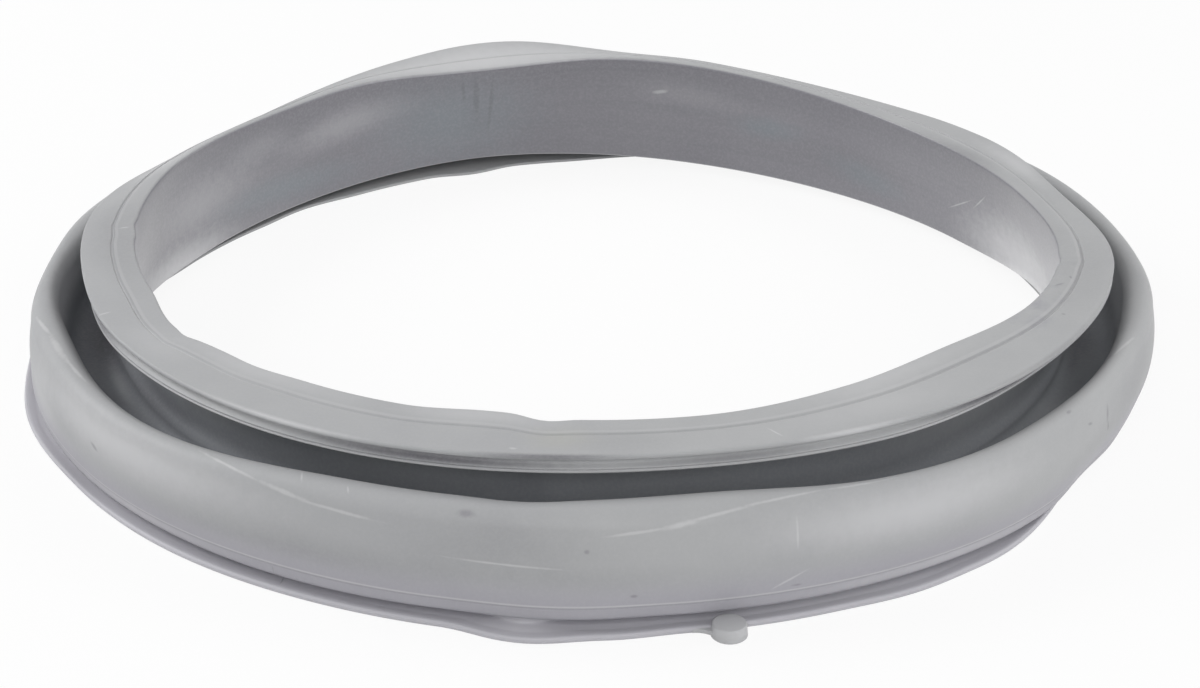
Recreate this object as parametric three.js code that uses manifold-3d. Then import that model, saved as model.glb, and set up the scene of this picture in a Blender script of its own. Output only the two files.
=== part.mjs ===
// Washing machine door seal: one moulded rubber bellows, lying tub side up.
// Millimetres, +Z up. The wall's section is a closed outline that is carried once round the
// axis. Sets in the rubber, its slumps, flats and kinks, move the section from place to place.
import * as THREE from 'three';
import { mergeVertices } from 'three/addons/utils/BufferGeometryUtils.js';
import Module from 'manifold-3d';

// Steps round the ring
const ringSteps = 84;

// Collar: the flat face at the top that is clamped on the tub
const mouthRadius = 150.5;
const collarWidth = 20;
const collarTop = 47;
const collarEdge = 5.6;
const edgeRound = 0.8;
const lineInset = 8;
const lineWidth = 1;
const lineDepth = 0.6;

// Clamp band: the hollow round the collar's edge that holds the clamp wire, over two fine ridges
const bandDepth = 1.6;
const ridgePitch = 1;
const ridgeDepth = 0.5;

// Slot under the collar for the rim of the tub
const rimSlotInset = 5.5;
const rimSlotWidth = 4;
const rimSlotDepth = 3;

// Sleeve: the inner wall, with a thin lip at its foot that meets the door glass
const sleeveWall = 3;
const sleeveFlare = 3.5;
const lipFoot = 6;
const lipTip = 1.1;

// Channel: the fold that joins the sleeve to the roll
const channelFloor = 11.5;
const footStep = 2.2;

// Roll: the outer fold of the bellows. Its belly lies one reach outside the mouth.
const rollWall = 3;
const crestTop = 37;
const crestRound = 5.6;
const rollReach = 37.9;
const bellyHeight = 21;
const bellyReach = 1.5;
const shoulderInset = 1.4;
const shoulderHeight = 5.4;

// Panel slot and foot: the slot grips the front panel's edge. The foot below it ends in a bead
// outside, one reach beyond the belly, and in a thin lower lip inside, one reach beyond the mouth.
const panelSlotGap = 2.4;
const panelSlotDepth = 6;
const beadReach = 0.9;
const beadHeight = 2.4;
const beadLand = 0.9;
const beadDip = 0.45;
const slotWeb = 4;
const slotCover = 2.2;
const lowerLipReach = 10.5;
const lowerLipRoot = 2.2;
const lowerLipTip = 1.1;

// Lug: the round locating button on the bead's edge, with a filleted web on each side
const lugAzimuth = 281.5;
const lugDiameter = 9.7;
const lugHeight = 4;
const lugDraft = 0.3;
const lugReach = 6.6;
const leftFillet = 6;
const rightFillet = 1.2;

// Radii that follow from the mouth and the reaches
const bellyRadius = mouthRadius + rollReach;
const shoulderRadius = bellyRadius - shoulderInset;
const beadRadius = bellyRadius + beadReach;
const lowerLipRadius = mouthRadius + lowerLipReach;

// Stations along the wall, from the foot of the collar's edge to the lower lip. Halfway between
// two stations is half a number.
const [hem, rim, mouth, nose, fold, crest, belly, shoulder, bead, lowerLip] = Array(10).keys();

// Sets in the rubber at each station. Each is centred at an azimuth and fades out at its spread,
// both in degrees; out and up are the millimetres that it moves the wall at its centre.
const collarSets = [
  { at: 8, spread: 24, out: -9, up: 0 },
  { at: 25, spread: 16, out: 0, up: -1.2 },
  { at: 50, spread: 62, out: -4, up: -9.3 },
  { at: 88, spread: 14, out: 0, up: -1.3 },
  { at: 100, spread: 18, out: 0, up: 1.2 },
  { at: 148, spread: 46, out: -6, up: -9 },
  { at: 190, spread: 26, out: -2.6, up: 0 },
  { at: 238, spread: 45, out: 3, up: 0 },
  { at: 318, spread: 45, out: 4, up: 0 },
];
const sets = {
  [hem]: [
    ...collarSets,
    { at: 192, spread: 22, out: -1.5, up: 0 },
    { at: 322, spread: 24, out: -3, up: 0 },
  ],
  [rim]: collarSets,
  [mouth]: [
    { at: 35, spread: 60, out: -4, up: -6.5 },
    { at: 107, spread: 24, out: -1, up: -2.5 },
    { at: 142, spread: 26, out: -2, up: -1.2 },
    { at: 216, spread: 12, out: 3.5, up: 0 },
    { at: 229, spread: 8, out: 1.3, up: 0 },
    { at: 259, spread: 10, out: -2.6, up: 0 },
    { at: 262, spread: 40, out: -1.3, up: 0 },
    { at: 265, spread: 4, out: 2, up: 0 },
    { at: 303, spread: 22, out: -3, up: 0 },
    { at: 316, spread: 16, out: -2.5, up: 0 },
    { at: 342, spread: 28, out: 4, up: 0 },
  ],
  [nose]: [
    { at: 8, spread: 20, out: 4.2, up: 0 },
    { at: 52, spread: 60, out: -5, up: -2.5 },
    { at: 146, spread: 45, out: -2, up: -2 },
    { at: 180, spread: 24, out: 3, up: 0 },
  ],
  [fold]: [
    { at: 60, spread: 90, out: -5, up: -2 },
    { at: 150, spread: 60, out: -4, up: -2 },
  ],
  [crest]: [
    { at: 50, spread: 75, out: -6, up: -8 },
    { at: 148, spread: 65, out: -7, up: -6 },
    { at: 190, spread: 18, out: 2, up: 0 },
    { at: 224, spread: 25, out: 4.2, up: -2 },
    { at: 256, spread: 22, out: -1.6, up: 0 },
    { at: 264, spread: 6, out: 1, up: 0 },
    { at: 279, spread: 18, out: -4, up: 0.3 },
    { at: 308, spread: 28, out: 4, up: -2 },
    { at: 329, spread: 16, out: 2.6, up: 0 },
  ],
  [belly]: [
    { at: 5, spread: 26, out: -5.2, up: 0 },
    { at: 50, spread: 75, out: -6, up: -7.5 },
    { at: 148, spread: 65, out: -6.7, up: -5.7 },
    { at: 184, spread: 16, out: -3.6, up: 0 },
    { at: 222, spread: 25, out: 1.5, up: -1 },
    { at: 308, spread: 28, out: 1.5, up: -1 },
    { at: 334, spread: 20, out: -2, up: 0 },
  ],
  [shoulder]: [
    { at: 14, spread: 28, out: -2, up: 0 },
    { at: 95, spread: 95, out: -8, up: 0 },
    { at: 267, spread: 10, out: 1.5, up: 0 },
    { at: 324, spread: 8, out: -1.5, up: 0 },
    { at: 334, spread: 26, out: -4, up: 0 },
  ],
  [bead]: [
    { at: 95, spread: 95, out: -9, up: 0 },
    { at: 200, spread: 14, out: 1.6, up: 0 },
    { at: 246, spread: 22, out: -0.8, up: 0 },
    { at: 264, spread: 7, out: 4, up: 0 },
    { at: 270.5, spread: 8, out: 2, up: 0 },
    { at: 299, spread: 8, out: 1, up: 0 },
    { at: 331, spread: 25, out: -12, up: 0 },
    { at: 356, spread: 25, out: -7, up: 0 },
  ],
  [lowerLip]: [
    { at: 80, spread: 15, out: 5, up: 0 },
    { at: 108, spread: 7, out: -3, up: 0 },
    { at: 128, spread: 60, out: -8, up: 0 },
    { at: 135, spread: 9, out: 1.7, up: 0 },
    { at: 168, spread: 9, out: 1.5, up: 0 },
    { at: 336, spread: 36, out: -5, up: 0 },
  ],
};

// Draws the section point by point. Each point keeps its radius, its height and its station.
class SectionPen {
  constructor(r, z, station) {
    this.points = [{ r, z, station }];
  }

  follow(curve, steps, station) {
    const from = this.points.at(-1).station;
    for (let i = 1; i <= steps; i += 1) {
      const point = curve.getPoint(i / steps);
      this.points.push({ r: point.x, z: point.y, station: THREE.MathUtils.lerp(from, station, i / steps) });
    }
    return this;
  }

  last() {
    const { r, z } = this.points.at(-1);
    return new THREE.Vector2(r, z);
  }

  line(r, z, station, steps = 1) {
    return this.follow(new THREE.LineCurve(this.last(), new THREE.Vector2(r, z)), steps, station);
  }

  bend(pullR, pullZ, r, z, station, steps) {
    const curve = new THREE.QuadraticBezierCurve(
      this.last(), new THREE.Vector2(pullR, pullZ), new THREE.Vector2(r, z));
    return this.follow(curve, steps, station);
  }

  arc(r, z, radius, fromDegrees, toDegrees, station, steps) {
    const from = THREE.MathUtils.degToRad(fromDegrees);
    const to = THREE.MathUtils.degToRad(toDegrees);
    return this.follow(new THREE.EllipseCurve(r, z, radius, radius, from, to, to < from), steps, station);
  }
}

// The section, clockwise from the mouth: over the collar, down the outside of the sleeve,
// through the channel, over the roll, round the bead and back along the hidden side.
function drawSection() {
  const rimRadius = mouthRadius + collarWidth;
  const collarFoot = collarTop - collarEdge;
  const lineRadius = mouthRadius + lineInset;
  const lineStation = mouth - lineInset / collarWidth;
  const bandTop = collarTop - edgeRound;
  const bandFoot = collarFoot + 2 * ridgePitch;
  const slotInner = mouthRadius + rimSlotInset;
  const slotOuter = slotInner + rimSlotWidth;
  const slotTop = collarFoot + rimSlotDepth;
  const slotStation = mouth - (rimSlotInset + rimSlotWidth / 2) / collarWidth;

  const sleeveInside = (z) => mouthRadius + sleeveFlare * (collarTop - z) / (collarTop - lipFoot);
  const sleeveOutside = (z) => sleeveInside(z) + sleeveWall;
  const sleeveStation = (z) => mouth + (collarTop - z) / (collarTop - lipFoot);
  const sleeveNeck = collarFoot - 2 * edgeRound;
  const stepTop = channelFloor + 3 * footStep;
  const stepFoot = channelFloor + 1.5 * footStep;

  const foldInner = sleeveOutside(channelFloor) + footStep;
  const crestRadius = bellyRadius - bellyReach - crestRound;
  const rollInner = crestRadius - crestRound;
  const foldMiddle = (foldInner + rollInner) / 2;
  const rollFoot = channelFloor + 3 * footStep;
  const crestHeight = crestTop - crestRound;
  const hollowRound = crestRound - rollWall;
  const hollowFloor = channelFloor - rollWall;

  const slotFloor = shoulderRadius - panelSlotDepth;
  const slotRoof = beadHeight + panelSlotGap;
  const webInner = slotFloor - slotWeb;

  const pen = new SectionPen(mouthRadius, collarTop - edgeRound, mouth);
  pen
    .line(mouthRadius + edgeRound, collarTop, mouth)
    .line(lineRadius, collarTop, lineStation)
    .line(lineRadius + lineWidth / 2, collarTop - lineDepth, lineStation)
    .line(lineRadius + lineWidth, collarTop, lineStation)
    .line(rimRadius - edgeRound, collarTop, rim)
    .line(rimRadius, bandTop, rim)
    .bend(rimRadius - 2 * bandDepth, (bandTop + bandFoot) / 2, rimRadius - ridgeDepth, bandFoot, hem, 2)
    .line(rimRadius, bandFoot - ridgePitch / 2, hem)
    .line(rimRadius - ridgeDepth, bandFoot - ridgePitch, hem)
    .line(rimRadius, bandFoot - 1.5 * ridgePitch, hem)
    .line(rimRadius - ridgeDepth, collarFoot, hem)
    .line(slotOuter, collarFoot, slotStation)
    .line(slotOuter, slotTop, slotStation)
    .line(slotInner, slotTop, slotStation)
    .line(slotInner, collarFoot, slotStation)
    .line(sleeveOutside(sleeveNeck), sleeveNeck, sleeveStation(sleeveNeck))
    .line(sleeveOutside(stepTop), stepTop, sleeveStation(stepTop), 3)
    .bend(foldInner, stepTop - footStep, foldInner, stepFoot, nose, 2)
    .bend(foldInner, channelFloor, foldMiddle, channelFloor, fold, 2)
    .bend(rollInner - 1, channelFloor, rollInner - 1, rollFoot, fold + 0.25, 2)
    .line(rollInner, crestHeight, crest, 2)
    .arc(crestRadius, crestHeight, crestRound, 180, 0, belly - 0.2, 6)
    .bend(bellyRadius, (crestHeight + bellyHeight) / 2, bellyRadius, bellyHeight, belly, 2)
    .bend(bellyRadius, bellyHeight / 2, shoulderRadius, shoulderHeight, shoulder, 4)
    .line(slotFloor, slotRoof, shoulder + 0.5)
    .line(slotFloor, beadHeight + beadDip, shoulder + 0.5)
    .line(beadRadius - 4 * beadLand, beadHeight - beadDip, bead)
    .line(beadRadius - beadLand, beadHeight, bead)
    .line(beadRadius, beadHeight - beadLand, bead)
    .line(beadRadius - beadLand, 0, bead)
    .line(lowerLipRadius, 0, lowerLip)
    .line(lowerLipRadius, lowerLipTip, lowerLip)
    .line(webInner, lowerLipRoot, bead)
    .line(webInner, slotRoof + slotCover, bead)
    .bend(bellyRadius - rollWall, slotRoof + slotCover, bellyRadius - rollWall, bellyHeight, belly, 3)
    .bend(bellyRadius - rollWall, (crestHeight + bellyHeight) / 2, crestRadius + hollowRound, crestHeight,
      belly - 0.2, 1)
    .arc(crestRadius, crestHeight, hollowRound, 0, 180, crest, 3)
    .line(crestRadius - hollowRound - 1, rollFoot, fold + 0.25, 2)
    .bend(crestRadius - hollowRound - 1, hollowFloor, foldMiddle, hollowFloor, fold, 2)
    .line(sleeveOutside(hollowFloor) + lipTip, hollowFloor, nose)
    .bend(sleeveInside(lipFoot) + lipTip, hollowFloor, sleeveInside(lipFoot) + lipTip, lipFoot, nose, 2)
    .line(sleeveInside(lipFoot), lipFoot, nose)
    .line(mouthRadius, collarTop - edgeRound, mouth, 4);
  pen.points.pop();
  return pen.points;
}

// A set's share at an azimuth: 1 at its centre, falling smoothly to 0 at its spread
function share(set, azimuth) {
  const away = Math.abs(THREE.MathUtils.euclideanModulo(azimuth - set.at + 180, 360) - 180);
  return away < set.spread ? Math.cos(Math.PI / 2 * away / set.spread) ** 2 : 0;
}

// How far the wall is moved at one station and azimuth
function movement(station, azimuth) {
  const move = { out: 0, up: 0 };
  for (const set of sets[station]) {
    move.out += set.out * share(set, azimuth);
    move.up += set.up * share(set, azimuth);
  }
  return move;
}

// Carries the section once round the axis as a closed surface
function carrySection(section) {
  const positions = [];
  for (let step = 0; step < ringSteps; step += 1) {
    const azimuth = 360 * step / ringSteps;
    const angle = THREE.MathUtils.degToRad(azimuth);
    const moves = Object.keys(sets).map((station) => movement(station, azimuth));
    for (const point of section) {
      const low = Math.min(Math.floor(point.station), lowerLip - 1);
      const part = THREE.MathUtils.smoothstep(point.station - low, 0, 1);
      const radius = point.r + THREE.MathUtils.lerp(moves[low].out, moves[low + 1].out, part);
      const height = point.z + THREE.MathUtils.lerp(moves[low].up, moves[low + 1].up, part);
      positions.push(radius * Math.cos(angle), radius * Math.sin(angle), height);
    }
  }
  const indices = [];
  const count = section.length;
  for (let step = 0; step < ringSteps; step += 1) {
    const here = step * count;
    const next = ((step + 1) % ringSteps) * count;
    for (let i = 0; i < count; i += 1) {
      const j = (i + 1) % count;
      indices.push(here + i, next + j, next + i, here + i, here + j, next + j);
    }
  }
  const geometry = new THREE.BufferGeometry();
  geometry.setAttribute('position', new THREE.Float32BufferAttribute(positions, 3));
  geometry.setIndex(indices);
  return geometry;
}

// The lug and its webs: a round button, and a plate whose outline runs from the bead into the
// button through a hollow fillet on each side
function makeLug() {
  const lugRadius = lugDiameter / 2;
  const lugCentre = beadRadius + lugReach - lugRadius;
  const button = new THREE.CylinderGeometry(lugRadius, lugRadius + lugDraft, lugHeight, 28);
  button.rotateX(Math.PI / 2).translate(lugCentre, 0, lugHeight / 2);

  // A fillet's centre lies one fillet radius from the bead's edge and from the button
  const filletPlace = (fillet) => {
    const away = beadRadius + fillet;
    const reach = lugRadius + fillet;
    const turn = Math.acos((away ** 2 + lugCentre ** 2 - reach ** 2) / (2 * away * lugCentre));
    const x = away * Math.cos(turn);
    const y = away * Math.sin(turn);
    return { x, y, turn, toButton: Math.atan2(-y, lugCentre - x) };
  };
  const left = filletPlace(leftFillet);
  const right = filletPlace(rightFillet);
  const root = beadRadius - leftFillet;
  const plate = new THREE.Shape();
  plate.moveTo(root, -left.y);
  plate.absarc(left.x, -left.y, leftFillet, Math.PI - left.turn, -left.toButton, true);
  plate.lineTo(lugCentre, 0);
  plate.absarc(right.x, right.y, rightFillet, right.toButton, right.turn - Math.PI, true);
  plate.lineTo(root, right.y);
  const depth = beadHeight - beadLand;
  const web = new THREE.ExtrudeGeometry(plate, { depth, bevelEnabled: false, curveSegments: 6 });

  const place = new THREE.Matrix4().makeRotationZ(THREE.MathUtils.degToRad(lugAzimuth));
  return [button, web].map((geometry) => geometry.applyMatrix4(place));
}

// Joins closed surfaces into one solid
function joinSolids(wasm, geometries) {
  const solids = geometries.map((geometry) => {
    geometry.deleteAttribute('normal');
    geometry.deleteAttribute('uv');
    const merged = mergeVertices(geometry, 1e-4);
    return new wasm.Manifold(new wasm.Mesh({
      numProp: 3,
      vertProperties: new Float32Array(merged.attributes.position.array),
      triVerts: new Uint32Array(merged.index.array),
    }));
  });
  const joined = solids.reduce((whole, solid) => whole.add(solid)).getMesh();
  const geometry = new THREE.BufferGeometry();
  geometry.setAttribute('position', new THREE.BufferAttribute(joined.vertProperties, 3));
  geometry.setIndex(new THREE.BufferAttribute(joined.triVerts, 1));
  return geometry;
}

const wasm = await Module();
wasm.setup();

const geometry = joinSolids(wasm, [carrySection(drawSection()), ...makeLug()]);

// The origin is the middle of the seal's underside
geometry.computeBoundingBox();
const middle = geometry.boundingBox.getCenter(new THREE.Vector3());
geometry.translate(-middle.x, -middle.y, -geometry.boundingBox.min.z);
geometry.computeVertexNormals();

const rubber = new THREE.MeshStandardMaterial({ name: 'grey_rubber', color: 0xa3a5a8, roughness: 0.62, metalness: 0 });
const seal = new THREE.Mesh(geometry, rubber);
seal.name = 'door_seal';

const model = new THREE.Group();
model.add(seal);

export default model;
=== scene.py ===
"""A washing machine door seal: one moulded grey rubber bellows, lying tub side up.

The wall's section is one closed outline, which is carried round the ring and warped by rows of
sets, as old rubber warps. A button and a web on the bead make the lug."""
import math

import bpy
import numpy as np
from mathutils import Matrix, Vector


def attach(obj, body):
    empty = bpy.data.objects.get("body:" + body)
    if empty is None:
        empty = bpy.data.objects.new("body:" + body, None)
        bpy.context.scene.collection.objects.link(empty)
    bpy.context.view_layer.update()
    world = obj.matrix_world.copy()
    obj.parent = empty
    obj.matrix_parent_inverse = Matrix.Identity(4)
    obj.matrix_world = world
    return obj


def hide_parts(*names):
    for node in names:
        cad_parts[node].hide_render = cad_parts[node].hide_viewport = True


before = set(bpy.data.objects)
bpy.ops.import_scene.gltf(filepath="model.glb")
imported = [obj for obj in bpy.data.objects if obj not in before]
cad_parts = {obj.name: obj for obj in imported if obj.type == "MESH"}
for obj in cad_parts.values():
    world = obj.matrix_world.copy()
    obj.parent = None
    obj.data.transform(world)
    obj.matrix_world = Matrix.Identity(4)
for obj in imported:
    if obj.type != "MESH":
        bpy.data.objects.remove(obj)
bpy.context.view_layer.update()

# Sizes in millimetres; angles in degrees, anticlockwise from +X.
MM = 0.001
RING_STEPS = 400

MOUTH_RADIUS = 150.5
COLLAR_WIDTH = 20
COLLAR_TOP = 47
COLLAR_EDGE = 5.6
EDGE_ROUND = 0.8
EDGE_FLAT = 0.5
LINE_INSET = 8
LINE_WIDTH = 1
LINE_DEPTH = 0.6
BAND_DEPTH = 1.6
RIDGE_PITCH = 1
RIDGE_DEPTH = 0.5
RIM_SLOT_INSET = 5.5
RIM_SLOT_WIDTH = 4
RIM_SLOT_DEPTH = 3
SLEEVE_WALL = 3
SLEEVE_FLARE = 3.5
LIP_FOOT = 6
LIP_STEP = 1.2
LIP_TIP = 1.1
CHANNEL_TOP = 38
CHANNEL_FLOOR = 11.5
FOOT_STEP = 2.2
ROLL_WALL = 3
ROLL_LEAN = 1
CREST_TOP = 37
CREST_ROUND = 5.6
ROLL_REACH = 37.9
BELLY_HEIGHT = 21
BELLY_REACH = 1.5
MOULD_LINE_HEIGHT = 9.5
SHOULDER_INSET = 1.4
SHOULDER_HEIGHT = 5.4
PANEL_SLOT_GAP = 2.4
PANEL_SLOT_DEPTH = 6
BEAD_REACH = 0.9
BEAD_HEIGHT = 2.4
BEAD_LAND = 0.9
BEAD_DIP = 0.45
SLOT_WEB = 4
SLOT_COVER = 2.2
LOWER_LIP_REACH = 10.5
LOWER_LIP_ROOT = 2.2
LOWER_LIP_TIP = 1.1

LUG_AZIMUTH = 281.5
LUG_DIAMETER = 9.7
LUG_HEIGHT = 4
LUG_DRAFT = 0.3
LUG_REACH = 6.6
LUG_TOP_ROUND = 0.55
LUG_FOOT_ROUND = 0.25
LEFT_FILLET = 6
RIGHT_FILLET = 1.2

# How far a corner of the section is rounded before and after it
MOUTH_SOFT = 1.0
RIM_SOFT = 0.9
HOLLOW_SOFT = 0.8
LAND_SOFT = 0.6
BEAD_SOFT = 0.5
LIP_SOFT = 0.4
HEEL_SOFT = 0.35
FINE_SOFT = 0.3
RIDGE_SOFT = 0.25
VALLEY_SOFT = 0.2

BELLY_RADIUS = MOUTH_RADIUS + ROLL_REACH
SHOULDER_RADIUS = BELLY_RADIUS - SHOULDER_INSET
BEAD_RADIUS = BELLY_RADIUS + BEAD_REACH
LOWER_LIP_RADIUS = MOUTH_RADIUS + LOWER_LIP_REACH

# Stations along the wall, from the foot of the collar's edge to the lower lip. The corner of
# the roll's foot lies a quarter past the fold, the crest's end just before the belly, and the
# panel slot's floor halfway from the shoulder to the bead.
HEM, RIM, MOUTH, NOSE, FOLD, CREST, BELLY, SHOULDER, BEAD, LOWER_LIP = range(10)
ROLL_FOOT = FOLD + 0.25
CREST_END = BELLY - 0.2
SLOT_FLOOR = SHOULDER + 0.5

# Sets in the rubber: station to rows of (azimuth, spread, out, up)
COLLAR_SETS = [
    (8, 24, -9, 0), (25, 16, 0, -1.2), (50, 62, -4, -9.3), (88, 14, 0, -1.3), (100, 18, 0, 1.2),
    (148, 46, -6, -9), (190, 26, -2.6, 0), (238, 45, 3, 0), (318, 45, 4, 0)]
SETS = {
    HEM: COLLAR_SETS + [(192, 22, -1.5, 0), (322, 24, -3, 0)],
    RIM: COLLAR_SETS,
    MOUTH: [
        (35, 60, -4, -6.5), (107, 24, -1, -2.5), (142, 26, -2, -1.2), (184.5, 2, 0.5, 0),
        (188, 2.2, -0.5, 0), (216, 12, 3.5, 0), (218.2, 2.6, 0.8, 0), (229, 8, 1.3, 0),
        (259, 10, -2.6, 0), (262, 40, -1.3, 0), (265, 4, 2, 0), (303, 22, -3, 0),
        (316, 16, -2.5, 0), (342, 28, 4, 0), (345, 2.4, 0.6, 0)],
    NOSE: [(8, 20, 4.2, 0), (52, 60, -5, -2.5), (146, 45, -2, -2), (180, 24, 3, 0)],
    FOLD: [(60, 90, -5, -2), (150, 60, -4, -2)],
    CREST: [
        (50, 75, -6, -8), (148, 65, -7, -6), (190, 18, 2, 0), (224, 25, 4.2, -2),
        (256, 22, -1.6, 0), (264, 6, 1, 0), (279, 18, -4, 0.3), (308, 28, 4, -2),
        (329, 16, 2.6, 0)],
    BELLY: [
        (5, 26, -5.2, 0), (50, 75, -6, -7.5), (148, 65, -6.7, -5.7), (184, 16, -3.6, 0),
        (222, 25, 1.5, -1), (308, 28, 1.5, -1), (334, 20, -2, 0)],
    SHOULDER: [
        (14, 28, -2, 0), (95, 95, -8, 0), (267, 10, 1.5, 0), (324, 8, -1.5, 0), (334, 26, -4, 0)],
    BEAD: [
        (95, 95, -9, 0), (200, 14, 1.6, 0), (246, 22, -0.8, 0), (264, 7, 4, 0),
        (270.5, 8, 2, 0), (299, 8, 1, 0), (331, 25, -12, 0), (356, 25, -7, 0)],
    LOWER_LIP: [
        (80, 15, 5, 0), (108, 7, -3, 0), (128, 60, -8, 0), (135, 9, 1.7, 0), (168, 9, 1.5, 0),
        (336, 36, -5, 0)],
}
# The panel slot's floor comes out where the foot is kinked: (azimuth, spread, out)
SLOT_PINCH = (264, 4.2, 3.0)

# Colours of the rubber and of what lies on it, as linear red, green and blue
TINTS = {
    "rubber": (0.385, 0.390, 0.400),
    "light rubber": (0.440, 0.446, 0.448),
    "mottle": (0.325, 0.327, 0.345),
    # Painted shade, purple grey, low on the roll
    "low roll": (0.355, 0.343, 0.392),
    "stain": (0.440, 0.440, 0.385),
    "rub": (0.500, 0.500, 0.510),
    "smudge": (0.270, 0.262, 0.310),
    "sleeve": (0.182, 0.178, 0.202),
    "light sleeve": (0.226, 0.222, 0.246),
    "streak": (0.150, 0.152, 0.174),
    "cloud": (0.345, 0.340, 0.362),
    "bluish": (0.185, 0.212, 0.238),
    # Painted highlight along the lip's edge
    "lip": (0.560, 0.560, 0.580),
    "drip": (0.118, 0.122, 0.142),
    "sleeve top": (0.110, 0.108, 0.128),
    # Painted shade in the channel's recess
    "channel": (0.132, 0.148, 0.180),
    # Painted light from the floor, on the panel slot and the bead
    "foot": (0.620, 0.612, 0.650),
    # Painted shade lines on the bead's land
    "land_shade_lines": (0.250, 0.245, 0.275),
    # Painted light and painted shade, laid in wide patches
    "pale": (0.700, 0.700, 0.715),
    "dark": (0.120, 0.117, 0.132),
    "scuff": (0.640, 0.645, 0.650),
    "nick": (0.200, 0.195, 0.215),
    # Painted highlight on the moulding line, and painted shade under it
    "mould line": (0.640, 0.640, 0.640),
    "under line": (0.250, 0.245, 0.270),
    "seam": (0.230, 0.230, 0.250),
    # Painted shade in the collar's groove, and painted highlights on its edges
    "groove": (0.240, 0.240, 0.255),
    "groove edge": (0.560, 0.560, 0.570),
    "talc": (0.52, 0.52, 0.53),
}

# Wide soft patches of painted light and painted shade, by the part of the wall that they lie
# on: rows of (azimuth, way along the section from the mouth's edge, half length round the ring,
# half width, strength)
# Painted light: highlights, reflections and brighter lit areas
PAINTED_LIGHT_PATCHES = {
    "collar": [
        (105, 8, 110, 18, 0.50), (20, 16, 46, 9, 0.38), (160, 8, 38, 14, 0.40),
        (230, 3, 66, 7, 0.24), (258, 3, 44, 6, 0.28), (305, 3, 60, 6, 0.26),
        (300, 12, 50, 9, 0.16), (218, 12, 26, 10, 0.14)],
    "collar edge": [(240, 20.8, 44, 1.6, 0.44), (295, 20.8, 26, 1.6, 0.50)],
    "channel": [
        (218, 61, 60, 8, 0.30), (318, 62, 70, 12, 0.30), (300, 50, 40, 9, 0.24),
        (250, 55, 70, 12, 0.12), (201, 81, 28, 3, 0.26), (331, 84, 26, 9, 0.20)],
    "roll's inner face": [
        (190, 111, 54, 11, 0.66), (238, 113, 90, 6, 0.26), (308, 113, 80, 6, 0.30),
        (349, 105, 74, 16, 0.72)],
    "crest": [(235, 116.5, 100, 5, 0.22), (300, 116.5, 90, 5, 0.22)],
    "belly": [(224, 131, 80, 11, 0.44), (298, 132, 64, 12, 0.42), (205, 140, 24, 14, 0.22)],
    "shoulder": [(302, 153, 60, 4, 0.38), (224, 153, 56, 4, 0.30)],
    "bead": [(310, 160, 50, 5, 0.24), (292, 165, 46, 7, 0.24), (220, 163, 40, 4, 0.20)],
    "lug": [(LUG_AZIMUTH, 205.3, 3, 3, 0.40)],
    "sleeve": [
        (13, 306, 60, 28, 0.78), (10, 300, 50, 7, 0.46), (164, 303, 60, 12, 0.66),
        (145, 332, 30, 8, 0.12)],
}
# Painted shade; only the sleeve's faint blob under the drips is a stain
PAINTED_SHADE_PATCHES = {
    "collar": [
        (187, 8, 56, 18, 0.22), (273, 13, 34, 10, 0.16), (341, 12, 60, 14, 0.16),
        (352, 2, 66, 7, 0.10), (198, 5, 44, 9, 0.12), (26, 2, 46, 7, 0.34)],
    "collar edge": [
        (266, 20.8, 32, 1.8, 0.78), (322, 20.8, 50, 1.6, 0.30), (255, 25.2, 60, 2.8, 0.90),
        (283, 25.4, 40, 2.6, 0.45), (316, 25.2, 58, 3.0, 1.00), (207, 25.2, 40, 3.2, 1.00)],
    "channel": [
        (186, 79, 60, 22, 1.00), (210, 73, 40, 7, 0.36), (351, 83, 34, 9, 0.50),
        (344, 81, 20, 3, 0.30)],
    "crest": [
        (262, 119, 30, 3.4, 0.15), (178, 124, 30, 10, 0.10), (331, 116.8, 14, 2.2, 0.25)],
    "belly": [
        (262, 133, 40, 14, 0.16), (247, 142, 66, 7, 0.15), (235, 144, 70, 5, 0.10),
        (335, 136, 44, 16, 0.18), (325, 141, 36, 7, 0.12), (270, 142, 50, 6, 0.12)],
    "bead": [(213, 170, 34, 3.5, 0.22)],
    "sleeve": [(176, 326, 56, 22, 0.52), (52, 316, 80, 14, 0.22), (107.5, 322, 12, 14, 0.16)],
}

# Small marks: rows of (azimuth, way, half length, half width, tilt, and at times softness)
CLOUDS = [(128, 329, 52, 10, -4, 1.0), (158, 322, 60, 15, 0, 1.0)]
FAINT_CLOUD = (76, 331, 40, 8, 3, 1.0)
BLUISH_STAINS = [
    (46, 314, 34, 9, 6, 1.0), (63, 323, 26, 7, -4, 1.0), (140, 312, 70, 9, 3, 1.0),
    (111, 322, 60, 30, 0, 1.0)]
DRIPS = [(107.5, 330, 14, 2.4, 88), (105.3, 327, 16, 1.5, 95), (109.5, 334, 8, 1.2, 84)]
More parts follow.
